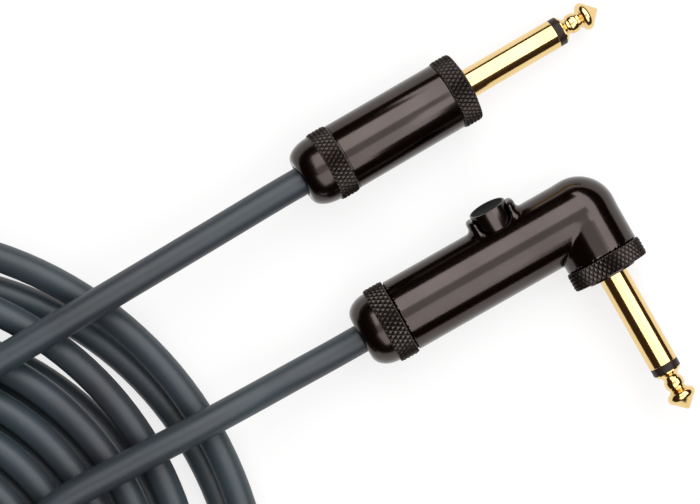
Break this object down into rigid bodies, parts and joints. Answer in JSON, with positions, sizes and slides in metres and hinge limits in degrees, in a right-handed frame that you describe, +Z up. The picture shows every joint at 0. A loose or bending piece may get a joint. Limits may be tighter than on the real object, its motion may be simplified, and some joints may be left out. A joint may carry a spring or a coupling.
{
  "type": "instrument cable",
  "caption": "Instrument cable with a straight phone plug, a right-angle phone plug with a mute button, and a lead lying in a round coil.",
  "frame": {"origin": "bottom centre of the two plugs' box, on the surface the cable lies on", "axes": "+Z up from the surface, plugs to +X of the coil, right-angle plug's shaft towards -Y"},
  "size_m": [0.2734, 0.1663, 0.0193],
  "materials": {
    "barrel_metal": "glossy black nickel plating with a brown cast",
    "knurled_metal": "knurled, satin black nickel plating",
    "button_metal": "satin bronze plating",
    "gold_plate": "polished gold plating",
    "dark_plastic": "moulded, dark brown",
    "dark_rubber": "matt black",
    "cable_jacket": "matt slate flexible jacket",
    "copper": "bare stranded copper",
    "tinned_steel": "tinned",
    "spring_steel": "bright"
  },
  "bodies": {
    "cable": {"straight_tip_contact": "gold_plate", "straight_insulator_ring": "dark_plastic", "straight_insulator_sleeve": "dark_plastic", "straight_sleeve_contact": "gold_plate", "straight_sleeve_lug": "tinned_steel", "straight_rear_washer": "dark_plastic", "straight_tip_lug": "tinned_steel", "straight_front_ring": "knurled_metal", "straight_barrel": "barrel_metal", "straight_rear_ring": "knurled_metal", "straight_end_cap": "barrel_metal", "straight_grommet": "dark_rubber", "straight_cable_clamp": "dark_plastic", "straight_jacket_end": "cable_jacket", "straight_core_insulation": "dark_plastic", "straight_conductor": "copper", "straight_shield_pigtail": "copper", "angle_tip_contact": "gold_plate", "angle_insulator_ring": "dark_plastic", "angle_insulator_sleeve": "dark_plastic", "angle_sleeve_contact": "gold_plate", "angle_sleeve_lug": "tinned_steel", "angle_rear_washer": "dark_plastic", "angle_tip_lug": "tinned_steel", "angle_front_ring": "knurled_metal", "elbow_body": "barrel_metal", "angle_rear_ring": "knurled_metal", "angle_end_cap": "barrel_metal", "angle_grommet": "dark_rubber", "angle_cable_clamp": "dark_plastic", "angle_jacket_end": "cable_jacket", "angle_core_insulation": "dark_plastic", "angle_conductor": "copper", "angle_shield_pigtail": "copper", "return_spring": "spring_steel", "switch_body": "dark_plastic", "switch_holder": "dark_plastic", "switch_terminals": "gold_plate", "tip_wire": "dark_rubber", "sleeve_wire": "dark_rubber", "cable_straight_lead": "cable_jacket", "cable_coil": "cable_jacket", "cable_angle_lead": "cable_jacket"},
    "button": {"button_cap": "button_metal", "button_inlay": "dark_rubber", "switch_plunger": "spring_steel"}
  },
  "joints": [
    {"name": "button_press", "type": "slide", "parent": "cable", "child": "button", "axis": [-0.2571, -0.9334, -0.2504], "range_m": [0, 0.002], "stiffness_N_per_m": 700, "springref_m": -0.002, "deforming": ["return_spring"]}
  ]
}
